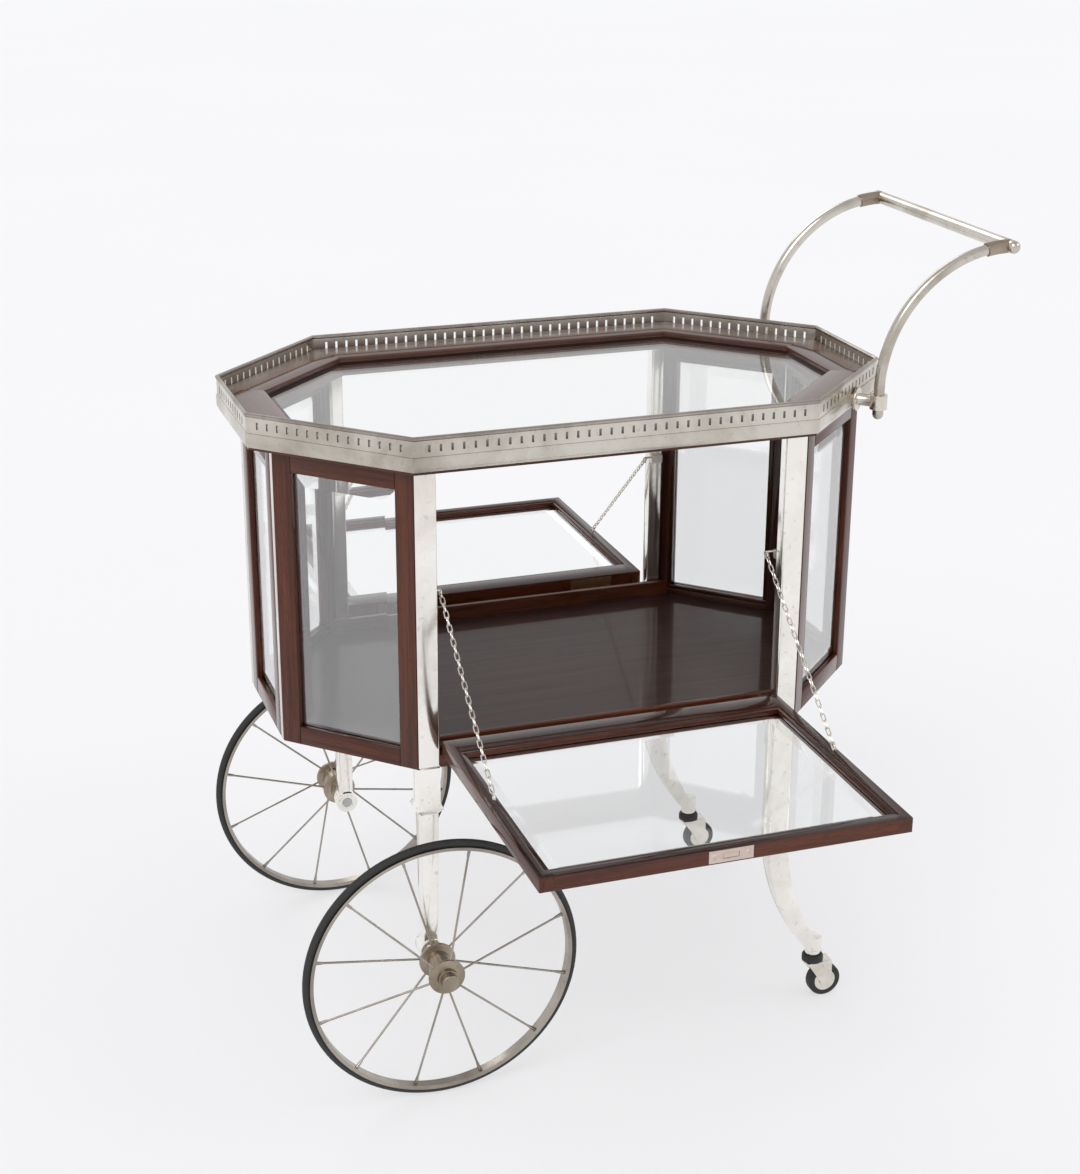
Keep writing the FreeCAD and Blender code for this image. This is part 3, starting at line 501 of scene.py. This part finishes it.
# Nodes whose finish is brighter or duller than that of their slot; the brighter and darker plates are painted
# light and painted shade
finish_of_node = {
    "canted_panes": "wall_glass",
    "end_panes": "wall_glass",
    "top_border": "table_mahogany",
    # Painted reflection: the posts and legs take the brighter plate
    "corner_posts": "bright_plate",
    "wheel_legs": "bright_plate",
    "caster_legs": "bright_plate",
    # Painted shade: the gallery rails take the darker plate
    "gallery_rails": "dark_plate",
    "gallery_walls": "aged_plate",
    "edge_band": "aged_plate",
    "handle_arms": "aged_plate",
    "handle_grip": "aged_plate",
    # Painted shade: the wheel rims take the darker plate, and the spokes share it
    "front_wheel_rim": "dark_plate",
    "back_wheel_rim": "dark_plate",
    "front_wheel_spokes": "dark_plate",
    "back_wheel_spokes": "dark_plate",
}


def dress_solids():
    for node, ease in eases.items():
        eased_piece(node, ease)
    for node, thing in frame["nodes"].items():
        if node not in eases:
            dress(thing, finish_for(node))


# Pieces made by geometry nodes


def new_rule(name, inputs):
    """An empty geometry tree with its named inputs, and its input and output nodes."""
    tree = bpy.data.node_groups.new(name, "GeometryNodeTree")
    tree.interface.new_socket("Geometry", in_out="INPUT", socket_type="NodeSocketGeometry")
    for label, kind in inputs.items():
        tree.interface.new_socket(label, in_out="INPUT", socket_type="NodeSocket" + kind)
    tree.interface.new_socket("Geometry", in_out="OUTPUT", socket_type="NodeSocketGeometry")
    return tree, tree.nodes.new("NodeGroupInput").outputs, tree.nodes.new("NodeGroupOutput").inputs


def finish_rule(tree, instances, material, result):
    """Ends a tree in real geometry with its material."""
    real = add(tree, "GeometryNodeRealizeInstances", {"Geometry": instances}).outputs["Geometry"]
    dressed = add(tree, "GeometryNodeSetMaterial", {"Geometry": real, "Material": material})
    put(tree, result["Geometry"], dressed.outputs["Geometry"])


def made_by(tree, name, mesh, values):
    """The plain mesh piece that a tree makes from a mesh."""
    piece = add_piece(name, mesh)
    modifier = piece.modifiers.new("rule", "NODES")
    modifier.node_group = tree
    for item in tree.interface.items_tree:
        if item.in_out == "INPUT" and item.name in values:
            modifier[item.identifier] = values[item.name]
    bpy.context.view_layer.update()
    evaluated = piece.evaluated_get(bpy.context.evaluated_depsgraph_get())
    made = bpy.data.meshes.new_from_object(evaluated)
    piece.modifiers.remove(modifier)
    piece.data = made
    smooth_with_creases(made)
    return piece


def link_rule():
    """Oval links along a line, each turned a quarter from the one before."""
    inputs = {"Count": "Int", "Length": "Float", "Width": "Float", "Wire": "Float", "Material": "Material"}
    tree, given, result = new_rule("chain_links", inputs)
    outline = add(
        tree, "GeometryNodeCurvePrimitiveQuadrilateral", {"Width": given["Length"], "Height": given["Width"]}
    )
    bend = times(tree, given["Width"], LINK_BEND_SHARE)
    oval = add(
        tree,
        "GeometryNodeFilletCurve",
        {"Curve": outline.outputs["Curve"], "Radius": bend, "Count": LINK_BEND_STEPS},
        mode="POLY",
    )
    wire = add(tree, "GeometryNodeCurvePrimitiveCircle", {"Radius": given["Wire"], "Resolution": WIRE_SIDES})
    link = add(
        tree,
        "GeometryNodeCurveToMesh",
        {"Curve": oval.outputs["Curve"], "Profile Curve": wire.outputs["Curve"]},
    ).outputs["Mesh"]
    upright = add(
        tree, "GeometryNodeTransform", {"Geometry": link, "Rotation": (0, math.pi / 2, 0)}
    ).outputs["Geometry"]
    line = add(tree, "GeometryNodeMeshToCurve", {"Mesh": given["Geometry"]}).outputs["Curve"]
    points = add(tree, "GeometryNodeCurveToPoints", {"Curve": line, "Count": given["Count"]}, mode="COUNT")
    number = add(tree, "GeometryNodeInputIndex", {}).outputs["Index"]
    odd = add(tree, "ShaderNodeMath", {0: number, 1: 2.0}, operation="MODULO").outputs["Value"]
    quarter = times(tree, odd, math.pi / 2)
    turn = add(
        tree, "FunctionNodeAxisAngleToRotation", {"Axis": (0, 0, 1), "Angle": quarter}
    ).outputs["Rotation"]
    turned = add(
        tree,
        "FunctionNodeRotateRotation",
        {"Rotation": points.outputs["Rotation"], "Rotate By": turn},
        rotation_space="LOCAL",
    ).outputs["Rotation"]
    links = add(
        tree,
        "GeometryNodeInstanceOnPoints",
        {"Points": points.outputs["Points"], "Instance": upright, "Rotation": turned},
    ).outputs["Instances"]
    finish_rule(tree, links, given["Material"], result)
    return tree


def facing_rotation(tree):
    """The rotation that turns up to the direction kept in the attribute named facing."""
    facing = add(tree, "GeometryNodeInputNamedAttribute", {"Name": "facing"}, data_type="FLOAT_VECTOR")
    aimed = add(
        tree, "FunctionNodeAlignRotationToVector", {"Vector": facing.outputs["Attribute"]}, axis="Z"
    )
    return aimed.outputs["Rotation"]


def screw_rule():
    """Slotted, slightly domed screw heads on points, each left at its own turn."""
    inputs = {"Radius": "Float", "Height": "Float", "Slot": "Float", "Seed": "Int", "Material": "Material"}
    tree, given, result = new_rule("slotted_screws", inputs)
    shoulder = times(tree, given["Radius"], SCREW_SHOULDER_SHARE)
    head = add(
        tree,
        "GeometryNodeMeshCone",
        {
            "Vertices": SCREW_SIDES,
            "Radius Top": shoulder,
            "Radius Bottom": given["Radius"],
            "Depth": given["Height"],
        },
    ).outputs["Mesh"]
    wide = times(tree, given["Radius"], SCREW_CUTTER_SHARE)
    size = add(
        tree, "ShaderNodeCombineXYZ", {"X": wide, "Y": given["Slot"], "Z": given["Height"]}
    ).outputs["Vector"]
    cutter = add(tree, "GeometryNodeMeshCube", {"Size": size}).outputs["Mesh"]
    lift = add(tree, "ShaderNodeCombineXYZ", {"Z": given["Height"]}).outputs["Vector"]
    lifted = add(tree, "GeometryNodeTransform", {"Geometry": cutter, "Translation": lift}).outputs["Geometry"]
    slotted = add(
        tree, "GeometryNodeMeshBoolean", {"Mesh 1": head, "Mesh 2": lifted}, operation="DIFFERENCE"
    )
    points = add(tree, "GeometryNodeMeshToPoints", {"Mesh": given["Geometry"]}).outputs["Points"]
    chance = add(tree, "FunctionNodeRandomValue", {"Seed": given["Seed"]}, data_type="FLOAT")
    put(tree, chance.inputs[3], math.pi)
    turn = add(
        tree, "FunctionNodeAxisAngleToRotation", {"Axis": (0, 0, 1), "Angle": chance.outputs[1]}
    ).outputs["Rotation"]
    turned = add(
        tree,
        "FunctionNodeRotateRotation",
        {"Rotation": facing_rotation(tree), "Rotate By": turn},
        rotation_space="LOCAL",
    ).outputs["Rotation"]
    screws = add(
        tree,
        "GeometryNodeInstanceOnPoints",
        {"Points": points, "Instance": slotted.outputs["Mesh"], "Rotation": turned},
    ).outputs["Instances"]
    finish_rule(tree, screws, given["Material"], result)
    return tree


def nipple_rule():
    """Tapered nipples on points, each along its spoke."""
    inputs = {"Radius": "Float", "Length": "Float", "Material": "Material"}
    tree, given, result = new_rule("spoke_nipples", inputs)
    throat = times(tree, given["Radius"], NIPPLE_THROAT_SHARE)
    nipple = add(
        tree,
        "GeometryNodeMeshCone",
        {
            "Vertices": NIPPLE_SIDES,
            "Radius Top": throat,
            "Radius Bottom": given["Radius"],
            "Depth": given["Length"],
        },
    ).outputs["Mesh"]
    points = add(tree, "GeometryNodeMeshToPoints", {"Mesh": given["Geometry"]}).outputs["Points"]
    nipples = add(
        tree,
        "GeometryNodeInstanceOnPoints",
        {"Points": points, "Instance": nipple, "Rotation": facing_rotation(tree)},
    ).outputs["Instances"]
    finish_rule(tree, nipples, given["Material"], result)
    return tree


def marks(name, places):
    """A mesh of bare points, each with the direction that it faces."""
    mesh = bpy.data.meshes.new(name)
    mesh.from_pydata([place for place, facing in places], [], [])
    layer = mesh.attributes.new("facing", "FLOAT_VECTOR", "POINT")
    for number, (place, facing) in enumerate(places):
        layer.data[number].vector = facing
    return mesh


def on_side(point, side):
    """A point of the front half of the cart, moved into the cart's frame, on the front or on the back."""
    return Vector((point.x + CABINET_X, point.y if side == "front" else -point.y, point.z))


def flip(direction, side):
    return Vector((direction.x, direction.y if side == "front" else -direction.y, direction.z))


def chains(rule, side):
    """Both chains of a flap, hung from the posts."""
    run = (EYE - HOOK).normalized()
    start, end = HOOK + run * RING_ROOM, EYE - run * RING_ROOM
    points = []
    for mirror in (-1, 1):
        for point in (start, end):
            points.append(on_side(Vector((point.x * mirror, point.y, point.z)), side))
    mesh = bpy.data.meshes.new(side + "_chain_lines")
    mesh.from_pydata(points, [(0, 1), (2, 3)], [])
    length = (end - start).length / (LINK_COUNT - 1) + LINK_WIRE * 2
    values = {
        "Count": LINK_COUNT,
        "Length": length,
        "Width": LINK_WIDTH - LINK_WIRE * 2,
        "Wire": LINK_WIRE,
        "Material": finishes["silver_plate"],
    }
    piece = made_by(rule, side + "_chain_links", mesh, values)
    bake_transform(piece)
    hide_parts(side + "_chains")


def ring_piece(name, form, rings):
    """A closed ring skinned over sections that all have the same number of corners."""
    for number, ring in enumerate(rings):
        following = rings[(number + 1) % len(rings)]
        for corner in range(len(ring)):
            after = (corner + 1) % len(ring)
            form.faces.new((ring[corner], following[corner], following[after], ring[after]))
    bmesh.ops.recalc_face_normals(form, faces=form.faces)
    mesh = bpy.data.meshes.new(name)
    form.to_mesh(mesh)
    form.free()
    smooth_with_creases(mesh)
    return add_piece(name, mesh)


def turned_ring(name, centre, profile):
    """A ring turned about an upright axis, from its section's radii and heights."""
    form = bmesh.new()
    rings = []
    for number in range(RING_SIDES):
        angle = 2 * math.pi * number / RING_SIDES
        out = Vector((math.cos(angle), math.sin(angle), 0))
        corners = [centre + out * radius + Vector((0, 0, height)) for radius, height in profile]
        rings.append([form.verts.new(corner) for corner in corners])
    return ring_piece(name, form, rings)


def caster_cup(side):
    """The black cup round the foot of a sabre leg, over its caster."""
    profile = [
        (CUP_BORE, 0),
        (CUP_RADIUS - CUP_ROUNDING, 0),
        (CUP_RADIUS, CUP_ROUNDING),
        (CUP_RADIUS, CUP_HEIGHT - CUP_ROUNDING * 2),
        (CUP_RADIUS - CUP_ROUNDING, CUP_HEIGHT - CUP_ROUNDING),
        (CUP_BORE + CUP_ROUNDING, CUP_HEIGHT),
        (CUP_BORE, CUP_HEIGHT),
    ]
    piece = turned_ring(side + "_caster_cup", on_side(CASTER, side), profile)
    dress(piece, "caster_rubber")
    settle(piece, "cart")


def keyhole_reach(along, across):
    """How far a keyhole reaches from its round end, in a direction along its slot and across it."""
    if along <= 0:
        return KEYHOLE_RADIUS
    slot_reach = 1 / max(along / KEYHOLE_SLOT_LENGTH, abs(across) / KEYHOLE_SLOT_HALF)
    return max(KEYHOLE_RADIUS, slot_reach)


def keyhole_plate(side):
    """An oval plate with a keyhole, on the outside of a flap by its lock."""
    centre = Vector((0, FLAP_EDGE_Y + KEYHOLE_SETBACK, FLAP_UNDERSIDE))
    form = bmesh.new()
    rings = []
    for number in range(KEYHOLE_SIDES):
        angle = 2 * math.pi * number / KEYHOLE_SIDES
        across, along = math.sin(angle), math.cos(angle)
        rim = Vector((KEYHOLE_PLATE.x * across, KEYHOLE_PLATE.y * along, 0))
        edge = Vector((across, along, 0)) * keyhole_reach(along, across)
        drop = Vector((0, 0, -KEYHOLE_PLATE.z))
        corners = (centre + edge, centre + rim, centre + rim + drop, centre + edge + drop)
        rings.append([form.verts.new(on_side(corner, side)) for corner in corners])
    piece = ring_piece(side + "_keyhole_plate", form, rings)
    dress(piece, "lock_nickel")
    settle(piece, side + "_flap")


def nipples(rule, side):
    """Nipples where a wheel's spokes enter its rim."""
    places = []
    for number in range(SPOKE_COUNT):
        angle = SPOKE_START + 2 * math.pi * number / SPOKE_COUNT
        out = Vector((math.sin(angle), 0, math.cos(angle)))
        lean = 1 if number % 2 else -1
        foot = out * SPOKE_FOOT.x + Vector((0, SPOKE_FOOT.y * lean, 0))
        tip = out * RIM_INNER
        inward = (foot - tip).normalized()
        places.append((on_side(WHEEL + tip, side), flip(inward, side)))
    values = {"Radius": NIPPLE_RADIUS, "Length": NIPPLE_LENGTH, "Material": finishes["dark_plate"]}
    piece = made_by(rule, side + "_wheel_nipples", marks(side + "_nipple_places", places), values)
    settle(piece, side + "_wheel")


def screws(rule, name, places, height, slot, body):
    values = {
        "Radius": SCREW_RADIUS,
        "Height": height,
        "Slot": SCREW_RADIUS * SCREW_SLOT_SHARE,
        "Seed": SCREW_SEED,
        "Material": finishes[slot],
    }
    piece = made_by(rule, name, marks(name + "_places", places), values)
    settle(piece, body)
    return piece


def lock_screws(rule, side):
    """Two screws in the lock's plate on the flap's free edge."""
    places = []
    for across in (-LOCK_SCREW_SPREAD, LOCK_SCREW_SPREAD):
        point = Vector((across, FLAP_EDGE_Y, FLAP_UNDERSIDE + FLAP_THICKNESS / 2))
        places.append((on_side(point, side), flip(Vector((0, -1, 0)), side)))
    screws(rule, side + "_lock_screws", places, LOCK_SCREW_HEIGHT, "lock_nickel", side + "_flap")


def bracket_screw_heads(rule):
    """Slotted heads in place of the plain ones on the handle's brackets."""
    places = []
    for side in ("front", "back"):
        out = Vector((math.sqrt(0.5), -math.sqrt(0.5), 0))
        across = Vector((out.y, -out.x, 0))
        seat = BRACKET - out * BRACKET_SEAT
        for way in (-1, 1):
            point = seat + across * BRACKET_SCREW_SPREAD * way
            places.append((on_side(point, side), flip(out, side)))
    piece = screws(rule, "bracket_screw_heads", places, BRACKET_SCREW_HEIGHT, "silver_plate", "cart")
    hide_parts("bracket_screws")


# Studio


def lay_floor():
    mesh = bpy.data.meshes.new("floor")
    turns = ((-1, -1), (1, -1), (1, 1), (-1, 1))
    corners = [(FLOOR_REACH * across, FLOOR_REACH * along, 0) for across, along in turns]
    mesh.from_pydata(corners, [], [(0, 1, 2, 3)])
    mesh.materials.append(floor_finish())
    add_piece("floor", mesh)


def light_sky():
    """Even pale light from all round, with a dimmer band overhead."""
    world = bpy.data.worlds.new("studio")
    scene.world = world
    world.use_nodes = True
    tree = world.node_tree
    place = add(tree, "ShaderNodeTexCoord", {}).outputs["Generated"]
    height = add(tree, "ShaderNodeSeparateXYZ", {"Vector": place}).outputs["Z"]
    share = between(tree, height, 0.25, 0.75, 0.0, 1.0)
    colour = mixed(tree, share, (1.0, 1.0, 1.0, 1), (0.74, 0.74, 0.76, 1))
    sky = tree.nodes["Background"]
    put(tree, sky.inputs["Color"], colour)
    put(tree, sky.inputs["Strength"], SKY_STRENGTH)


def add_lamp(name, direction, softness, strength):
    """A broad lamp far away, shining along a direction."""
    lamp = bpy.data.lights.new(name, "SUN")
    lamp.angle = softness
    lamp.energy = strength
    holder = bpy.data.objects.new(name, lamp)
    scene.collection.objects.link(holder)
    holder.rotation_euler = direction.to_track_quat("-Z", "Y").to_euler()


def light_studio():
    light_sky()
    for name, (direction, softness, strength) in LAMPS.items():
        add_lamp(name, direction, softness, strength)


def place_camera():
    """The photograph's camera."""
    lens = bpy.data.cameras.new("camera")
    lens.lens = CAMERA_LENS
    lens.sensor_fit = "AUTO"
    lens.sensor_width = SENSOR
    camera = bpy.data.objects.new("camera", lens)
    scene.collection.objects.link(camera)
    heading = Matrix.Rotation(-CAMERA_YAW, 4, "Z")
    tilt = Matrix.Rotation(math.pi / 2 - CAMERA_PITCH, 4, "X")
    roll = Matrix.Rotation(CAMERA_ROLL, 4, "Z")
    camera.matrix_world = Matrix.Translation(CAMERA_PLACE) @ heading @ tilt @ roll
    scene.camera = camera


def build():
    dress_solids()
    link_tree, screw_tree, nipple_tree = link_rule(), screw_rule(), nipple_rule()
    for side in ("front", "back"):
        chains(link_tree, side)
        nipples(nipple_tree, side)
        lock_screws(screw_tree, side)
        caster_cup(side)
        keyhole_plate(side)
    bracket_screw_heads(screw_tree)
    lay_floor()
    light_studio()
    place_camera()
    scene.view_settings.view_transform = "Standard"


build()
